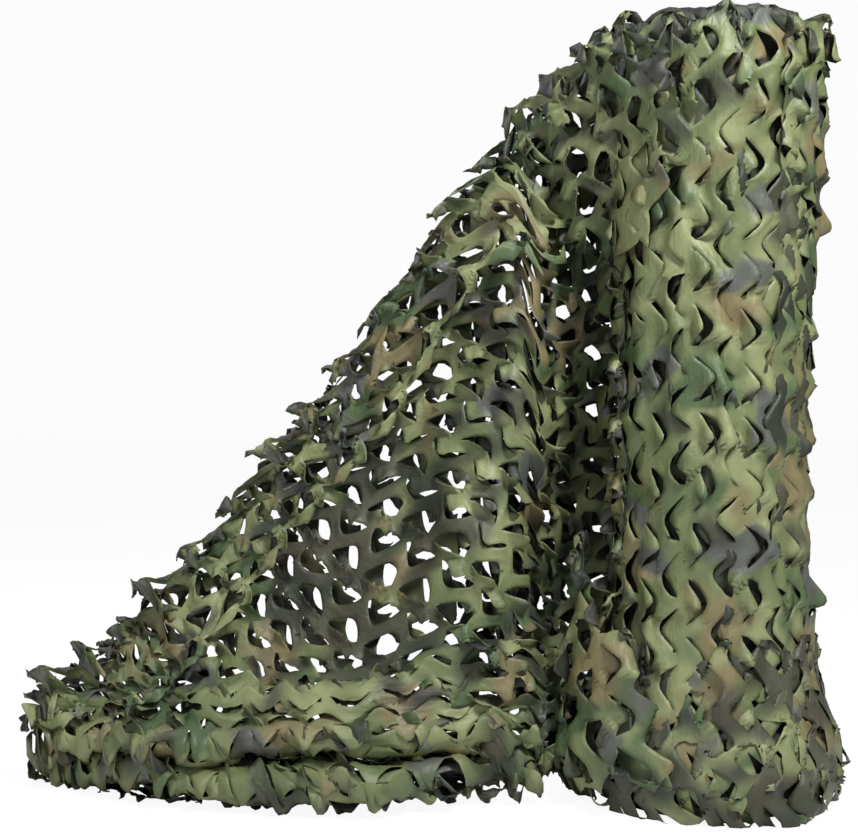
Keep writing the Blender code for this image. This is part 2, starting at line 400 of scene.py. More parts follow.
# fine threads, creases pressed in by the winding, and the coating's uneven wear
def coatedWeave(look):
    tree, start, end = newGroup("coatedWeave", [
        ("Cloth", "NodeSocketVector", None),
        ("Threads", "NodeSocketFloat", 1.0),
    ], [("Height", "NodeSocketFloat"), ("Crease", "NodeSocketFloat"), ("Wear", "NodeSocketFloat")])
    cloth = start.outputs["Cloth"]
    threads = addNode(tree, "Math", -560, 200, operation="MAXIMUM")
    for place, drawnOut in enumerate(look["threads"]):
        y = 300 - 260 * place
        thread = addNode(tree, "VectorMath", -950, y, {0: cloth, 1: drawnOut}, operation="MULTIPLY")
        noise = addNode(tree, "TexNoise", -780, y, {
            "Vector": thread.outputs[0], "Scale": start.outputs["Threads"], "Detail": 0})
        tree.links.new(noise.outputs["Fac"], threads.inputs[place])
    pressed = addNode(tree, "VectorMath", -950, -300, {0: cloth, 1: look["creases"]}, operation="MULTIPLY")
    crease = addNode(tree, "TexNoise", -780, -300, {
        "Vector": pressed.outputs[0], "Scale": 1, "Detail": 3, "Distortion": 0.8})
    height = addNode(tree, "Math", -360, 0, {
        0: threads.outputs[0], 1: look["threadHeight"], 2: crease.outputs["Fac"]}, operation="MULTIPLY_ADD")
    wear = addNode(tree, "TexNoise", -780, -600, {"Vector": cloth, "Scale": look["wear"], "Detail": 4})
    tree.links.new(height.outputs[0], end.inputs["Height"])
    tree.links.new(crease.outputs["Fac"], end.inputs["Crease"])
    tree.links.new(wear.outputs["Fac"], end.inputs["Wear"])
    return tree


def nettingFinish(name, groups, look):
    made = bpy.data.materials.new(name)
    made.use_nodes = True
    tree = made.node_tree
    link = tree.links.new
    shader = tree.nodes["Principled BSDF"]
    shader.location = (200, 0)
    cloth = addNode(tree, "UVMap", -1100, 0, uv_map="cloth").outputs["UV"]
    colours = {label: linear(*colour) for label, colour in look["colours"].items()}
    pattern = addNode(tree, "Group", -800, 200, node_tree=groups["print"])
    for label, value in {"Patch": look["patch"], **colours}.items():
        pattern.inputs[label].default_value = value
    link(cloth, pattern.inputs["Cloth"])
    weave = addNode(tree, "Group", -800, -200, node_tree=groups["weave"])
    link(cloth, weave.inputs["Cloth"])
    fade = addNode(tree, "MapRange", -560, 0, {
        "Value": weave.outputs["Wear"], "From Min": 0.3, "From Max": 0.7,
        "To Min": look["faded"][0], "To Max": look["faded"][1]})
    tinted = addNode(tree, "VectorMath", -380, 150, operation="SCALE")
    link(pattern.outputs["Color"], tinted.inputs[0])
    link(fade.outputs["Result"], tinted.inputs["Scale"])
    # the attribute darkens leaves drawn as turned over, and paints shade where they lie in recesses
    undersideShade = addNode(tree, "Attribute", -380, 400, attribute_name="undersideShade")
    shadedColour = addNode(tree, "HueSaturation", -160, 200, {
        "Fac": undersideShade.outputs["Fac"], "Saturation": 0.72, "Value": look["undersideShade"],
        "Color": tinted.outputs[0]})
    gloss = addNode(tree, "MapRange", -560, -250, {
        "Value": weave.outputs["Crease"],
        "To Min": look["roughness"] - 0.10, "To Max": look["roughness"] + 0.10})
    bump = addNode(tree, "Bump", -300, -300, {
        "Strength": look["bump"], "Distance": 0.004, "Height": weave.outputs["Height"]})
    link(shadedColour.outputs["Color"], shader.inputs["Base Color"])
    link(gloss.outputs["Result"], shader.inputs["Roughness"])
    link(bump.outputs["Normal"], shader.inputs["Normal"])
    return made


frontLook = {
    "patch": 8.0,
    "undersideShade": 0.30,    # how bright a darkened leaf is: turned over to its back, and painted shade in recesses
    "roughness": 0.50, "bump": 0.7,
    "faded": (0.86, 1.12),   # how bright the print is where the coating is worn most and least
    "colours": {
        "Ground": (106, 116, 76), "Light": (136, 143, 100), "Deep": (78, 96, 62),
        "Tan": (122, 113, 79), "Dark": (88, 91, 84),
    },
}
backLook = {   # the print comes through to the back, greyed and darker; darkened further as painted shade, since the backs seen lie in shade
    **frontLook, "undersideShade": 1.0,
    "roughness": 0.58,
    "colours": {
        "Ground": (54, 58, 46), "Light": (68, 72, 56), "Deep": (38, 44, 37),
        "Tan": (62, 57, 48), "Dark": (42, 42, 45),
    },
}
groups = {"print": patchPrint(), "weave": coatedWeave(weaveLook)}
netFinishes = (
    nettingFinish("nettingFront", groups, frontLook),
    nettingFinish("nettingBack", groups, backLook),
)
print("finishes made")


rollNet = {
    "cellsAround": 13, "cellsDown": 15, "pinJitter": 0.004, "ripple": 0.005,
    "topReach": 0.032,    # the uppermost leaves stand this far above the wound edge
    "deepest": 0.006,     # how far a leaf's edge may sink into the roll
    "seed": 11,
    "pull": (24, 12, 0.40, (0, 0, -9.81)),   # frames in all, frames of pulling, stiffness, gravity
    "crumple": 0.013,     # how far the turns bulge at the top, the foot and the left side
    "wander": 0.010,      # how far the rows of the cut stray along and across the netting
    # the roll's left side, next to the loose end, is darkened more: painted shade
    "turnedAndShadeChance": lambda x, y, z: 0.02 + 0.10 * (x < -0.10),
    "secondTurn": {"turned": 0.34, "inset": 0.011, "drop": 0.015},
}


winding = {
    "snugAt": 0.62,       # the height where the outer turn is wound most snugly
    "snugReach": 0.30, "endsFade": 0.45,
    "leftReach": 0.16,    # in turns, to either side of where it leaves the roll
    "least": 0.10, "atEnds": 0.9, "atLeft": 0.5,
}


# How loose the outer turn is wound: snug at its middle, slack at the ends and at the left side
def slackness(turn, z):
    ends = np.clip((np.abs(z - winding["snugAt"]) - winding["snugReach"]) / winding["endsFade"], 0, 1)
    left = np.clip(1 - np.minimum(turn % 1.0, 1 - turn % 1.0) / winding["leftReach"], 0, 1)
    return np.clip(winding["least"] + winding["atEnds"] * ends + winding["atLeft"] * left, 0, 1)


# Bulges that lift slack netting off the roll, from 0 to 1
def bulges(turn, z):
    angle = 2 * np.pi * turn
    broad = np.sin(9 * angle + 5 * z) * np.sin(31 * z + 3 * np.sin(2 * angle))
    small = np.sin(15 * angle - 17 * z + 1) * np.sin(52 * z + 2)
    return 0.5 + 0.28 * broad + 0.22 * small


# A plain tube of flat net, with the turn and the share of its height of each point
def tubeOfNet(values, top, phase):
    net = slitNet(values["cellsAround"], values["cellsDown"])
    flat = net["flat"]
    length = values["cellsAround"] * leafCut["along"]
    turn = 1 - flat[:, 0] / length
    share = flat[:, 1] / (values["cellsDown"] * leafCut["across"])
    ripple = values["ripple"] * leafLean(flat, phase=phase)
    start = aroundAxis(turn, length / (2 * np.pi) + ripple, top - flat[:, 1])
    return net, start, turn, share, ripple, length


# The roll's outer turn, pulled snug
def wrapRoll(values):
    top = netWidth + values["topReach"]
    net, start, turn, share, ripple, length = tubeOfNet(values, top, 1)
    random = np.random.default_rng(values["seed"])
    z = top * (1 - share)
    slack = slackness(turn, z)
    strayed = turn + values["wander"] / length * np.sin(7 * z + 4 * np.pi * turn)
    z += values["wander"] * np.sin(6 * np.pi * turn + 5 * z) * np.sin(np.pi * share)
    pulled = rollSurface(strayed, z, -ripple - values["crumple"] * slack * bulges(turn, z))
    pulled[net["pins"]] += (random.normal(0, values["pinJitter"], (len(net["pins"]), 3))
                            * (0.7 + 1.4 * slack[net["pins"], None]))
    pulled[:, 2] = np.clip(pulled[:, 2], floorGap, top)
    places = pullOpen(start, pulled, net, values["pull"])
    return net, clearOfRoll(places, -values["deepest"])


def makeRoll(values):
    net, places = wrapRoll(values)
    turned = leavesToDarken(net, places, values["turnedAndShadeChance"], values["seed"])
    outer = netObject("rollNet", places, net, (0, 0), turned)
    second = values["secondTurn"]
    angle = second["turned"] * 2 * math.pi
    radius = np.linalg.norm(places[:, :2], axis=1, keepdims=True)
    inside = places.copy()
    inside[:, :2] *= 1 - second["inset"] / radius
    cos, sin = math.cos(angle), math.sin(angle)
    inside[:, :2] = inside[:, :2] @ np.array([[cos, sin], [-sin, cos]])
    inside[:, 2] = np.clip(inside[:, 2] - second["drop"], floorGap, netWidth)
    # the second turn is darkened where the outer leaves are not: painted shade seen through the openings
    return outer, netObject("secondTurn", inside, net, (3.7, 1.9), ~turned)


outerTurn, secondTurn = makeRoll(rollNet)

woundCore = {"sides": 96, "rows": 60, "inset": 0.024, "top": 0.035, "bottom": 0.004}


# The turns further in, as one form behind the slits, in the darker back finish that paints the shade there
def makeCore(values):
    sides, rows = values["sides"], values["rows"]
    turns = np.arange(sides) / sides
    heights = np.linspace(values["bottom"], netWidth - values["top"], rows)
    points = np.concatenate([rollSurface(turns, z, values["inset"]) for z in heights])
    points = np.concatenate([points, [[0, 0, heights[0]], [0, 0, heights[-1]]]])
    faces = []
    for side in range(sides):
        after = (side + 1) % sides
        for low in range(0, (rows - 1) * sides, sides):
            faces.append((low + side, low + after, low + sides + after, low + sides + side))
        faces.append((after, side, len(points) - 2))
        faces.append(((rows - 1) * sides + side, (rows - 1) * sides + after, len(points) - 1))
    mesh = newMesh("woundCore", points.tolist(), faces)
    mesh.materials.append(netFinishes[1])
    corners = [corner for face in faces for corner in face]
    unrolled = np.stack([np.arctan2(points[:, 1], points[:, 0]) * rollRadius, points[:, 2]], 1)
    addMap(mesh, "cloth", unrolled[corners])
    mesh.shade_smooth()
    return newObject("woundCore", mesh)


core = makeCore(woundCore)

turnTops = {
    "pitch": 0.0135,      # from one turn to the next
    "innermost": 0.012,
    "dome": 0.014,        # the middle stands this far above the roll's rim
    "rise": 0.014,        # the edges stand this far up and down
    "highest": 0.030,
    "inset": 0.012,       # the outermost of them stands this far inside the rim
    "lean": 0.006, "perRibbon": 3, "perCell": 8,
    "turnedAndShadeChance": lambda x, y, z: 0.1,
    "seed": 23,
}


# The upper edges of the inner turns, one spiral strip of leaves
def makeTurnTops(values):
    pitch = values["pitch"]
    outermost = rollProfile(netWidth) - values["inset"]
    length = math.pi * (outermost**2 - values["innermost"]**2) / pitch
    cells = int(length / leafCut["along"])
    net = slitNet(cells, 1, 1.0, values["perRibbon"], values["perCell"])
    flat = net["flat"]
    radius = np.sqrt(np.maximum(outermost**2 - flat[:, 0] * pitch / math.pi, values["innermost"]**2))
    turn = (outermost - radius) / pitch
    random = np.random.default_rng(values["seed"])
    knots = random.uniform(-1, 1, 4 * cells)
    rise = np.interp(flat[:, 0] * 3 / leafCut["along"], np.arange(len(knots)), knots) * values["rise"]
    radius = radius + values["lean"] * leafLean(flat)
    dome = values["dome"] * np.sqrt(np.clip(1 - (radius / rollRadius) ** 2, 0, 1))
    z = netWidth + np.minimum(dome + rise - flat[:, 1], values["highest"])
    places = aroundAxis(turn, radius, z)
    turned = leavesToDarken(net, places, values["turnedAndShadeChance"], values["seed"])
    return netObject("turnTops", places, net, (7.1, 0.4), turned)


tops = makeTurnTops(turnTops)

baseFolds = {
    "cellsAround": 16, "cellsDown": 4, "height": 0.36, "outside": 0.006, "ripple": 0.004,
    "pinJitter": 0.013,
    # the foot is mostly darkened, more so at the left: painted shade among its folds
    "turnedAndShadeChance": lambda x, y, z: 0.68 + 0.2 * (x < -0.12),
    "seed": 31, "pull": (22, 12, 0.30, (0, 0, -9.81)),
}


# The crumpled foot of the roll, where the lower edge of the turn outside spreads on the floor
def makeBaseFolds(values):
    net, start, turn, share, ripple, _ = tubeOfNet(values, values["height"], 2)
    random = np.random.default_rng(values["seed"])
    pulled = rollSurface(turn, values["height"] * (1 - share), -ripple - values["outside"])
    pulled[net["pins"]] += random.normal(0, values["pinJitter"], (len(net["pins"]), 3))
    pulled[:, 2] = np.maximum(pulled[:, 2], floorGap)
    places = clearOfRoll(pullOpen(start, pulled, net, values["pull"]), 0.0)
    turned = leavesToDarken(net, places, values["turnedAndShadeChance"], values["seed"])
    return netObject("baseFolds", places, net, (11.3, 5.2), turned)


foot = makeBaseFolds(baseFolds)


sectionColumns = ("along", "xTop", "xFoot", "zTop", "zLip", "yTop", "yWaist", "yKnee", "yLip", "width")
sections = (
    (0.00, -0.186, -0.186, 1.485, 0.090, 0.000, 0.000, 0.000, 0.000, 0.95),
    (0.08, -0.212, -0.216, 1.475, 0.085, 0.070, 0.120, 0.100, 0.040, 0.96),
    (0.17, -0.262, -0.262, 1.445, 0.095, 0.105, 0.125, 0.140, 0.020, 1.00),
    (0.26, -0.318, -0.300, 1.400, 0.120, 0.115, 0.050, 0.150, -0.010, 1.03),
    (0.32, -0.352, -0.328, 1.362, 0.150, 0.118, -0.055, 0.120, -0.045, 1.06),
    (0.38, -0.395, -0.360, 1.320, 0.180, 0.120, -0.070, -0.040, -0.080, 1.09),
    (0.52, -0.495, -0.468, 1.195, 0.205, 0.125, -0.040, -0.110, -0.130, 1.08),
    (0.67, -0.600, -0.600, 1.055, 0.200, 0.130, 0.030, -0.060, -0.160, 1.04),
    (0.82, -0.700, -0.730, 0.890, 0.190, 0.135, 0.060, -0.020, -0.170, 1.00),
    (0.97, -0.810, -0.850, 0.750, 0.180, 0.135, 0.070, 0.000, -0.165, 1.00),
    (1.12, -0.930, -0.960, 0.600, 0.170, 0.140, 0.075, 0.010, -0.150, 0.98),
    (1.27, -1.050, -1.070, 0.455, 0.160, 0.140, 0.075, 0.020, -0.120, 0.93),
    (1.41, -1.170, -1.170, 0.340, 0.145, 0.135, 0.070, 0.030, -0.075, 0.84),
    (1.55, -1.285, -1.265, 0.235, 0.120, 0.125, 0.075, 0.040, -0.015, 0.70),
    (1.67, -1.390, -1.335, 0.165, 0.090, 0.110, 0.080, 0.055, 0.030, 0.56),
)
hanging = {
    "waistShare": 0.55,      # how high the waist and knee lie between the lip and the top
    "kneeShare": 0.20,
    "curlBack": 0.050,       # the top edge curls back
    "curlDown": 0.035, "curlStart": 0.25, "flareFade": 0.25, "billow": 0.006,
    "billowWaves": 21.0,
    "levels": (1.0, 0.58, 0.46, 0.22),   # of the folds on the floor, as shares of the lip's height
    "levelSway": 0.050,      # and how far they rise and fall along the heap
    "lipSway": 0.012, "swayWaves": ((8.3, 0.0), (9.0, 0.7), (12.5, 2.9), (7.2, 4.6)),
    "turnDepth": 0.3, "shallow": 0.05, "foldShift": 0.022,
    "foldWaves": ((5.1, 0.4), (6.3, 2.1), (4.4, 4.0)), "columns": 120, "rows": 260,
    "roundShare": 0.5, "roundRows": (0.05, 0.40, 0.62), "lapColumns": 8,
    "lap": 0.11,             # how far the loose end reaches round onto the roll's front
    "lapLift": 0.006, "lapLines": {"edge": 1.485, "crest": 1.485, "lip": 0.09, "end": 0.002},
    "lipWaves": (13.0, 0.6), "swellAt": -0.24, "swellReach": 0.10, "guideSteps": 400,
}


def sectionAt(along):
    columns = np.array(sections).T
    return {name: float(smoothCurve(along, columns[0], values))
            for name, values in zip(sectionColumns, columns)}


def foldTurn(edge, inward, upper, lower, depth):
    backOff = inward * min(hanging["turnDepth"] * depth, 0.6 * (upper - lower))
    return [(edge + backOff, upper), (edge, (upper + lower) / 2), (edge + backOff, lower)]


# One section seen from the side (y, z), from the curled top edge to the end in the folds
def sectionLine(s):
    rise = s["zTop"] - s["zLip"]
    curl = min(1.0, s["along"] / hanging["curlStart"])
    levels = [s["zLip"] * (share + hanging["levelSway"] * math.sin(rate * s["along"] + phase))
              for share, (rate, phase) in zip(hanging["levels"], hanging["swayWaves"])] + [0.001]
    lipRate, lipPhase = hanging["lipWaves"]
    yLip = s["yLip"] + hanging["lipSway"] * math.sin(lipRate * s["along"] + lipPhase) * curl
    hangs = [
        (s["yTop"] + hanging["curlBack"] * curl, s["zTop"] - hanging["curlDown"] * curl),
        (s["yTop"], s["zTop"]),
        (s["yWaist"], s["zLip"] + hanging["waistShare"] * rise),
        (s["yKnee"], s["zLip"] + hanging["kneeShare"] * rise),
        (yLip, s["zLip"]),
    ]
    steps = np.linalg.norm(np.diff(np.array(hangs), axis=0), axis=1)
    depth = max(0.0, (netWidth * s["width"] - steps.sum() - s["zLip"]) / 4)
    folded = min(1.0, depth / hanging["shallow"])
    shifts = [hanging["foldShift"] * folded * math.sin(rate * s["along"] + phase)
              for rate, phase in hanging["foldWaves"]]
    front, back = yLip, yLip + depth
    line = hangs[:-1]
    line += foldTurn(front, 1, levels[0], levels[1], depth)
    line += foldTurn(back, -1, levels[1], levels[2], depth)
    line += foldTurn(front + shifts[0], 1, levels[2], levels[3], depth)
    line += foldTurn(back + shifts[1], -1, levels[3], levels[4], depth)
    line.append((front + shifts[2] + hanging["foldShift"] * folded, levels[4]))
    return np.array(line), steps


def evenLine(points, count):
    kept = [points[0]]
    for point in points[1:]:
        if np.linalg.norm(point - kept[-1]) > 0.001:
            kept.append(point)
    kept = np.array(kept)
    at = np.concatenate([[0], np.cumsum(np.linalg.norm(np.diff(kept, axis=0), axis=1))])
    fineAt = np.linspace(0, at[-1], 600)
    fine = np.stack([smoothCurve(fineAt, at, kept[:, k]) for k in range(2)], axis=1)
    run = np.concatenate([[0], np.cumsum(np.linalg.norm(np.diff(fine, axis=0), axis=1))])
    even = np.linspace(0, run[-1], count)
    return np.stack([np.interp(even, run, fine[:, k]) for k in range(2)], axis=1), run[-1]


# A grid of points in space with its directions, and the lines of its unrolled plane
def formOf(grid, **lines):
    grid = np.array(grid)
    alongGrid = np.gradient(grid, axis=0)
    downGrid = np.gradient(grid, axis=1)
    inward = np.cross(downGrid, alongGrid)
    inward /= np.maximum(np.linalg.norm(inward, axis=2, keepdims=True), 1e-9)
    downGrid /= np.maximum(np.linalg.norm(downGrid, axis=2, keepdims=True), 1e-9)
    form = {"grid": grid, "inward": inward, "down": downGrid}
    form.update({name: np.broadcast_to(np.array(values, float), len(grid)) for name, values in lines.items()})
    return form


# A column's place u: partly its distance across the view, partly the length round the folds
def roundFolds(grid, xTop):
    grid = np.array(grid)
    rows = [int(share * grid.shape[1]) for share in hanging["roundRows"]]
    steps = np.linalg.norm(np.diff(grid[:, rows, :2], axis=0), axis=2).mean(axis=1)
    steps += (1 - hanging["roundShare"]) * (-np.diff(xTop) - steps)
    return xTop[0] - np.concatenate([[0], np.cumsum(np.maximum(steps, 0))])


# The hanging shape as a grid of points, a column for each place from the roll to the far tip.
# Unrolled, a column has its place u across the view and heights v of its edge, crest, lip and end.
def hangingShape():
    rows = hanging["rows"]
    lap = hanging["lapLines"]
    grid = []
    lines = {name: [] for name in ("xTop", "edge", "crest", "lip", "end")}
    for step in range(hanging["lapColumns"], 0, -1):
        back = hanging["lap"] * step / hanging["lapColumns"]
        z = np.linspace(lap["edge"], lap["end"], rows)
        grid.append(rollSurface(back / (2 * np.pi * rollRadius), z, -hanging["lapLift"]))
        for name, value in {"xTop": back - rollRadius, **lap}.items():
            lines[name].append(value)
    for along in np.linspace(0, sections[-1][0], hanging["columns"]):
        s = sectionAt(along)
        line, steps = sectionLine(s)
        points, length = evenLine(line, rows)
        y, z = points.T
        below = np.clip((s["zTop"] - z) / s["zTop"], 0, 1)
        x = s["xTop"] + (s["xFoot"] - s["xTop"]) * below
        x -= (rollProfile(np.maximum(z, 0)) - rollRadius) * max(0.0, 1 - along / hanging["flareFade"])
        aboveLip = np.clip((z - s["zLip"]) / (s["zTop"] - s["zLip"]), 0, 1)
        waves = np.sin(hanging["billowWaves"] * x) + np.sin(hanging["billowWaves"] * (0.7 * z - 0.5 * x))
        y = y + hanging["billow"] * waves * np.sin(np.pi * aboveLip) * min(1.0, along / hanging["flareFade"])
        grid.append(np.stack([x, y, np.maximum(z, 0.001)], 1))
        top = s["zLip"] + steps.sum()
        for name, value in zip(lines, (s["xTop"], top, top - steps[0], s["zLip"], top - length)):
            lines[name].append(value)
    return formOf(grid, u=roundFolds(grid, lines["xTop"]), **lines)


shape = hangingShape()


# The place u of the column whose top lies at x
def placeAt(x):
    return float(np.interp(-x, -shape["xTop"], shape["u"]))


def shapeLine(name, u, form=shape):
    return np.interp(-u, -form["u"], form[name])


# Reads a grid of vectors between its points
def gridAt(grid, i, j):
    i = np.clip(i, 0, grid.shape[0] - 1.001)
    j = np.clip(j, 0, grid.shape[1] - 1.001)
    i0, j0 = i.astype(int), j.astype(int)
    fi, fj = (i - i0)[:, None], (j - j0)[:, None]
    return ((1 - fi) * ((1 - fj) * grid[i0, j0] + fj * grid[i0, j0 + 1])
            + fi * ((1 - fj) * grid[i0 + 1, j0] + fj * grid[i0 + 1, j0 + 1]))


# Lays points of the unrolled plane (u, v), each with its height out of it, on a form
def layOnShape(form, u, v, height):
    columns = np.arange(len(form["u"]))
    column = np.interp(-u, -form["u"], columns)
    edge = np.interp(column, columns, form["edge"])
    end = np.interp(column, columns, form["end"])
    row = (edge - v) / (edge - end) * (form["grid"].shape[1] - 1)
    above = np.maximum(v - edge, 0)
    past = np.maximum(form["u"][-1] - u, 0)
    places = gridAt(form["grid"], column, row)
    places -= gridAt(form["inward"], column, row) * height[:, None]
    places -= gridAt(form["down"], column, row) * above[:, None]
    places[:, 0] -= past
    return places


sunken = {
    "x": -0.70, "z": 0.48, "reach": 0.21, "spread": 0.33,
    "across": 0.20,    # half of its size, for the leaves darkened in it, painted shade of the hollow
    "upright": 0.27,
}


# The netting is pulled wider open round the sunken part of the loose end
def opened(plane):
    away = plane - np.array((placeAt(sunken["x"]), sunken["z"]))
    near = np.exp(-(away ** 2).sum(axis=1, keepdims=True) / sunken["reach"] ** 2)
    return sunken["spread"] * near * away


def inSunken(x, z):
    return ((x - sunken["x"]) / sunken["across"]) ** 2 + ((z - sunken["z"]) / sunken["upright"]) ** 2 < 1


# A net pulled open over part of the hanging shape. Its first row follows a guide line in the
# unrolled plane, and its columns run down from that line, leaning by the slope of the rows.
def hangNet(name, values):
    form = values["form"]
    guideU = np.linspace(values["from"], values["to"], hanging["guideSteps"])
    guideV = shapeLine(values["guide"], guideU, form) + values["above"]
    fromSwell = (guideU - placeAt(hanging["swellAt"])) / hanging["swellReach"]
    guideV += values["swell"] * np.exp(-(fromSwell ** 2))
    guide = np.stack([guideU, guideV], 1)
    run = np.concatenate([[0], np.cumsum(np.linalg.norm(np.diff(guide, axis=0), axis=1))])
    slope = values["rowSlope"]
    rowWay = np.array([-math.cos(slope), -math.sin(slope)])
    downWay = np.array([math.sin(slope), -math.cos(slope)])
    reach = run[-1] + values["beyond"]
    length = reach / values["stretch"][0]
    size = values["size"]
    if values["sideways"]:
        cellsDown = round(values["drop"] / size / leafCut["along"])
        net = slitNet(cellsDown, math.ceil(length / size / leafCut["across"]), size)
        onCloth = np.stack([net["flat"][:, 1], net["flat"][:, 0].max() - net["flat"][:, 0]], 1)
    else:
        cellsDown = round(values["drop"] / size / leafCut["across"])
        net = slitNet(math.ceil(length / size / leafCut["along"]), cellsDown, size)
        onCloth = net["flat"]
    net["onCloth"] = onCloth
    at = onCloth[:, 0] * values["stretch"][0]
    plane = np.stack([np.interp(at, run, guide[:, k]) for k in range(2)], 1)
    plane += np.maximum(at - run[-1], 0)[:, None] * rowWay
    plane += onCloth[:, 1:] * values["stretch"][1] * downWay
    plane += opened(plane)
    net, plane = cutLeaves(net, plane, values["covers"], values["stepped"])
    flat = net["flat"]

    # at first the net lies flat and closed, at the slope it will have
    lying = net["onCloth"] @ np.array([rowWay, downWay])
    lying += plane.mean(axis=0) - lying.mean(axis=0)
    random = np.random.default_rng(values["seed"])
    ripple = values["ripple"] * (leafLean(flat, size, 1) + 0.5 * np.sin(31 * flat[:, 0] + 17 * flat[:, 1]))
    start = np.stack([lying[:, 0], -ripple, lying[:, 1]], 1)
    pulled = np.stack([plane[:, 0], -ripple, plane[:, 1]], 1)
    jitter = np.array([values["pinJitter"][0], values["pinJitter"][1], values["pinJitter"][0]])
    pulled[net["pins"]] += random.normal(0, 1, (len(net["pins"]), 3)) * jitter
    settled = pullOpen(start, pulled, net, values["pull"])
    places = layOnShape(form, settled[:, 0], settled[:, 2], values["inFront"] - settled[:, 1])
    places = clearOfRoll(places, values["offRoll"])
    turned = leavesToDarken(net, places, values["turnedAndShadeChance"], values["seed"])
    return netObject(name, places, net, values["printShift"], turned)


farEnd = placeAt(sections[-1][1])

# what most of these nets share
hungNet = {
    "form": shape, "guide": "crest",
    "above": 0.0,                    # where the first row lies above the guide line
    "swell": 0.0,                    # and how much more at the shoulder
    "from": -0.08, "to": farEnd,
    "beyond": 0.0,                   # how far the net runs on past the guide line
    "rowSlope": math.radians(50),    # the cut rows run down to the left, as the top edge does
    "sideways": False, "size": 0.80, "inFront": 0.0, "offRoll": 0.0, "ripple": 0.004,
    "stepped": False, "held": "hung", "restsOn": ["loose_end"],
}

looseNet = {
    **hungNet, "above": 0.030,
    "swell": 0.010, "beyond": 0.62, "stretch": (1.13, 1.00), "drop": 1.28,
    "covers": lambda u, v: (u < -0.10) & (u > farEnd - 0.035) & (v > shapeLine("end", u) + 0.02),
    "offRoll": 0.004, "pinJitter": (0.005, 0.010), "stepped": True,
    # the sunken part and the valley by the roll are darkened: painted shade
    "turnedAndShadeChance": lambda x, y, z: np.where(inSunken(x, z), 0.90, 0.10 + 0.35 * ((y > 0.08) & (x > -0.42))),
    "seed": 5, "printShift": (0, 0), "pull": (30, 16, 0.20, (0, -4.0, -9.81)),
}
looseEnd = hangNet("looseNet", looseNet)

# the second layer of the loose end, close behind the first
backNet = {
    **hungNet, "guide": "edge",
    "beyond": 0.62, "stretch": (1.11, 0.97), "drop": 1.36,
    "covers": lambda u, v: (u < -0.12) & (u > farEnd) & (v > shapeLine("end", u) + 0.04),
    "inFront": -0.022, "ripple": 0.003, "pinJitter": (0.007, 0.008),
    # this layer behind the first is mostly darkened: painted shade
    "turnedAndShadeChance": lambda x, y, z: 0.85,
    "seed": 6, "printShift": (2.3, 4.1), "pull": (26, 14, 0.25, (0, -2.0, -9.81)),
}
backLayer = hangNet("backLayer", backNet)

# the strip along the top edge that has folded over to the front
ridgeFold = {
    **hungNet, "above": 0.068,
    "from": placeAt(-0.22), "stretch": (1.18, 0.96), "size": 1.02, "drop": 0.33,
    "covers": lambda u, v: (u < placeAt(-0.24)) & (u > farEnd + 0.02) & (v > shapeLine("lip", u)),
    "inFront": 0.016, "offRoll": 0.010, "pinJitter": (0.009, 0.015), "stepped": True,
    "turnedAndShadeChance": lambda x, y, z: 0.04,
    "held": "draped", "seed": 7, "printShift": (5.3, 0.7),
    "pull": (28, 15, 0.25, (0, -4.0, -9.81)),
}
ridgeStrip = hangNet("ridgeFold", ridgeFold)

# the wider cloth that lies folded on the floor
floorFolds = {
    **hungNet, "guide": "lip",
    "above": 0.14, "from": -0.14, "rowSlope": math.radians(6), "stretch": (1.05, 0.97),
    "drop": 1.12, "sideways": True,
    "covers": lambda u, v: (u < -0.15) & (u > farEnd - 0.020) & (v > shapeLine("end", u) + 0.01),
    "inFront": 0.008, "offRoll": 0.008, "ripple": 0.006, "pinJitter": (0.006, 0.011),
    # the lowest folds and those near the roll are darkened: painted shade
    "turnedAndShadeChance": lambda x, y, z: 0.06 + 0.20 * (z < 0.07) + 0.30 * (x > -0.50),
    "held": "folded", "seed": 8, "printShift": (1.9, 8.2),
    "pull": (24, 12, 0.60, (0, -3.0, -4.0)),
}
heap = hangNet("floorFolds", floorFolds)

# a third layer behind the fold that stands next to the roll, darkened all over: painted shade that fills the
# valley
pleatNet = {
    **hungNet, "above": -0.05,
    "from": -0.10, "to": placeAt(-0.70), "beyond": 0.45, "stretch": (0.86, 0.98), "size": 0.85,
    "drop": 1.38,
    "covers": lambda u, v: ((u > placeAt(-0.56)) & (u < placeAt(-0.18))
                            & (v > shapeLine("lip", u)) & (v < 1.0)),
    "inFront": -0.045, "ripple": 0.005, "pinJitter": (0.006, 0.008), "stepped": True,
    "turnedAndShadeChance": lambda x, y, z: 1.0,
    "seed": 9, "printShift": (3.1, 6.6), "pull": (18, 9, 0.30, (0, 0, -9.81)),
}
pleat = hangNet("pleatLayer", pleatNet)


shoulderCurve = {
    "line": (   # where it leaves the roll's upper end: x, y and height of its edge, and its drop there
        (-0.060, -0.200, 1.505, 0.46),
        (-0.140, -0.168, 1.507, 0.46),
        (-0.215, -0.118, 1.497, 0.42),
        (-0.285, -0.050, 1.462, 0.34),
        (-0.350, 0.020, 1.410, 0.25),
        (-0.415, 0.080, 1.345, 0.17),
    ),
    "columns": 40, "rows": 60,
    "above": 0.05,       # the form goes on this far above the edge, and curls back there
    "curlFrom": 0.03, "curl": 25.0, "flatten": 0.35, "tuck": 0.9, "tuckLeft": 0.3,
}


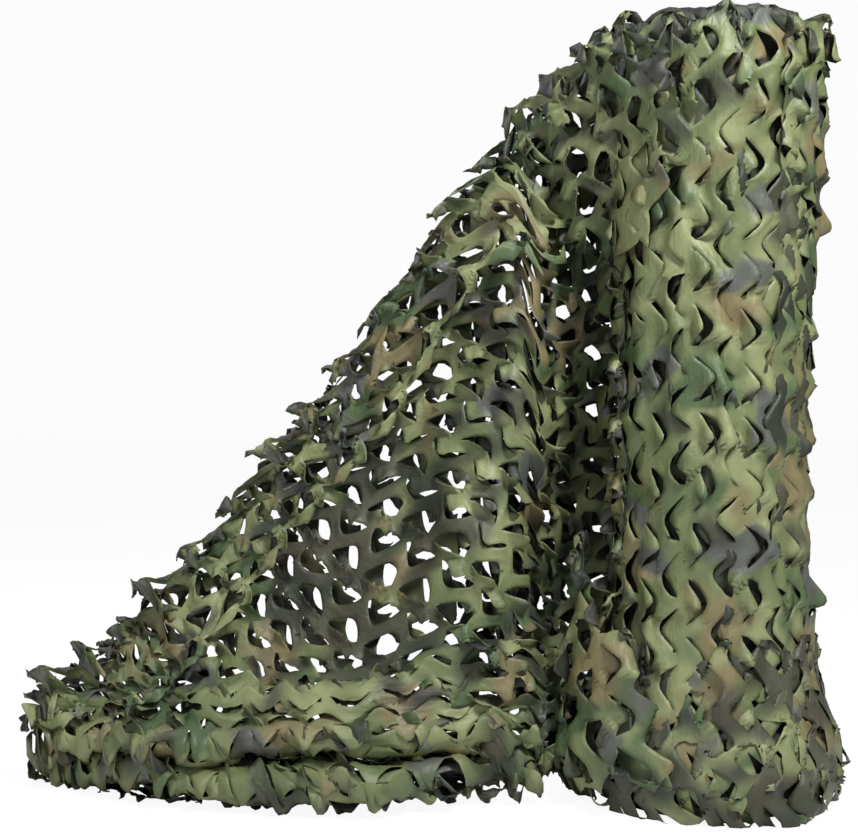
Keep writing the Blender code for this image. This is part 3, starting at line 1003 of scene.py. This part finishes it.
# The shoulder over the upper end of the valley, which tucks in behind itself as it goes down
def shoulderShape(values):
    points = np.array(values["line"])
    run = np.concatenate([[0], np.cumsum(np.linalg.norm(np.diff(points[:, :3], axis=0), axis=1))])
    deepest = points[:, 3].max()
    downs = np.linspace(-values["above"], deepest, values["rows"])
    curled = values["curl"] * np.maximum(values["curlFrom"] - downs, 0) ** 2
    tucked = values["tuck"] * np.maximum(downs, 0) ** 2
    lowered = np.maximum(downs, 0) - values["flatten"] * np.minimum(downs, 0)
    places = np.linspace(0, run[-1], values["columns"])
    grid = []
    for along in places:
        x, y, z = [float(smoothCurve(along, run, points[:, k])) for k in range(3)]
        left = values["tuckLeft"] * along / run[-1]
        grid.append(np.stack([x - left * tucked, y + curled + tucked, z - lowered], 1))
    drops = smoothCurve(places, run, points[:, 3])
    return formOf(grid, u=-places, edge=values["above"], crest=0, lip=-drops, end=-deepest)


shoulder = shoulderShape(shoulderCurve)
shoulderNet = {
    **hungNet, "above": 0.025,
    "from": 0.0, "to": float(shoulder["u"][-1]), "form": shoulder, "beyond": 0.20,
    "rowSlope": math.radians(20), "stretch": (1.12, 1.0), "size": 0.90, "drop": 0.55,
    "covers": lambda u, v: (u < 0.0) & (u > shoulder["u"][-1]) & (v > shapeLine("lip", u, shoulder)),
    "inFront": 0.010, "offRoll": 0.015, "ripple": 0.005, "pinJitter": (0.006, 0.011),
    "stepped": True,
    # the lower part, tucked in behind, is darkened more: painted shade
    "turnedAndShadeChance": lambda x, y, z: 0.12 + 0.3 * (z < 1.22),
    "held": "draped", "seed": 41, "printShift": (4.4, 2.9),
    "pull": (26, 14, 0.25, (0, -4.0, -9.81)),
}
shoulderFold = hangNet("shoulderFold", shoulderNet)


slackTurn = {
    "turns": (0.24, 0.01),    # from the roll's front round to where the loose end leaves it
    "reach": 0.34, "heights": (0.0, 0.12, 0.30, 0.55, 0.70, 0.86),
    "off": (0.015, 0.045, 0.075, 0.052, 0.026, 0.0),   # how far it stands off the roll there
    "ease": 1.3, "columns": 30, "rows": 60,
    "levels": {"edge": 0.86, "crest": 0.84, "lip": 0.03, "end": 0.003},
}


# The slack foot of the outer turn, which bulges toward the valley
def slackShape(values):
    first, last = values["turns"]
    levels = values["levels"]
    z = np.linspace(levels["edge"], levels["end"], values["rows"])
    shares = np.linspace(0, 1, values["columns"])
    grid = []
    for share in shares:
        eased = min(1.0, values["ease"] * share)
        off = smoothCurve(z, values["heights"], values["off"]) * eased ** 2 * (3 - 2 * eased)
        grid.append(rollSurface(first + (last - first) * share, z, -off))
    return formOf(grid, u=-values["reach"] * shares, **levels)


slack = slackShape(slackTurn)
slackNet = {
    **hungNet, "from": 0.0,
    "to": -slackTurn["reach"], "form": slack, "beyond": 0.15, "rowSlope": math.radians(14),
    "stretch": (1.10, 1.0), "size": 0.92, "drop": 0.92,
    "covers": lambda u, v: (u < -0.11) & (u > -slackTurn["reach"]) & (v > 0.05) & (v < 2.1 * -u - 0.02),
    "inFront": 0.010, "offRoll": 0.008, "pinJitter": (0.006, 0.010),
    # the part further back, toward the valley, is darkened more: painted shade
    "turnedAndShadeChance": lambda x, y, z: 0.08 + 0.30 * (y > -0.04),
    "held": "draped", "restsOn": ["roll"], "seed": 43, "printShift": (6.1, 3.7),
    "pull": (24, 12, 0.25, (0, 0, -9.81)),
}
slackPiece = hangNet("slackFoot", slackNet)


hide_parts("roll")
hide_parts("loose_end")
pieces = (outerTurn, secondTurn, core, tops, foot, looseEnd, backLayer, ridgeStrip, heap, pleat,
          shoulderFold, slackPiece)
for piece in pieces:
    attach(piece, "root")


floorLook = {
    "size": 12, "roughness": 0.8,
    # socket, for the light that falls on the netting, and as the camera sees it
    "shades": (("Base Color", 0.86, 0.10), ("Emission Color", 0.0, 0.92)),
}


# a pale floor that the camera sees a little brighter than its light on the netting
def floorFinish(look):
    made = bpy.data.materials.new("paleFloor")
    made.use_nodes = True
    tree = made.node_tree
    shader = tree.nodes["Principled BSDF"]
    shader.inputs["Roughness"].default_value = look["roughness"]
    rays = addNode(tree, "LightPath", -600, 0)
    for row, (socket, elsewhere, seen) in enumerate(look["shades"]):
        shade = addNode(tree, "Mix", -300, 200 - 400 * row, data_type="RGBA")
        shade.inputs["A"].default_value = (elsewhere, elsewhere, elsewhere, 1)
        shade.inputs["B"].default_value = (seen, seen, seen, 1)
        tree.links.new(rays.outputs["Is Camera Ray"], shade.inputs["Factor"])
        tree.links.new(shade.outputs["Result"], shader.inputs[socket])
    shader.inputs["Emission Strength"].default_value = 1
    return made


def makeFloor(look):
    size = look["size"]
    corners = [(-size, -size, 0), (size, -size, 0), (size, size, 0), (-size, size, 0)]
    mesh = newMesh("paleFloor", corners, [(0, 1, 2, 3)])
    mesh.materials.append(floorFinish(look))
    newObject("paleFloor", mesh)


def makeLight(name, place, aim, size, power):
    light = bpy.data.lights.new(name, "AREA")
    light.shape = "DISK"
    light.size = size
    light.energy = power
    obj = newObject(name, light)
    obj.location = place
    toward = np.array(aim) - np.array(place)
    obj.rotation_euler = (math.atan2(math.hypot(toward[0], toward[1]), -toward[2]), 0,
                          math.atan2(toward[1], toward[0]) - math.pi / 2)


# The backdrop is seen nearly white, and lights the netting only softly
def makeWorld(seen, lighting):
    world = bpy.data.worlds.new("studio")
    bpy.context.scene.world = world
    world.use_nodes = True
    tree = world.node_tree
    background = tree.nodes["Background"]
    background.inputs["Color"].default_value = (1, 1, 1, 1)
    rays = addNode(tree, "LightPath", -500, 0)
    strength = addNode(tree, "MapRange", -300, 0, {
        "Value": rays.outputs["Is Camera Ray"], "To Min": lighting, "To Max": seen})
    tree.links.new(strength.outputs["Result"], background.inputs["Strength"])


cameraView = {"place": (-0.557, -3.0, 0.88), "downward": 2.57, "sensor": 36, "lens": 63.99}


def makeCamera(view):
    camera = bpy.data.cameras.new("camera")
    camera.sensor_width = view["sensor"]
    camera.lens = view["lens"]
    obj = newObject("camera", camera)
    obj.location = view["place"]
    obj.rotation_euler = (math.radians(90 - view["downward"]), 0, 0)
    bpy.context.scene.camera = obj


makeFloor(floorLook)
makeLight("key", (0.70, -2.0, 3.2), (-0.2, 0, 0.9), 0.9, 130)
makeLight("rim", (-2.2, 1.7, 2.9), (-0.5, 0, 0.8), 2.0, 34)
makeLight("fill", (-2.6, -2.2, 2.4), (-0.7, 0, 0.6), 2.4, 23)
makeWorld(0.97, 0.20)
makeCamera(cameraView)
bpy.context.scene.view_settings.view_transform = "Standard"
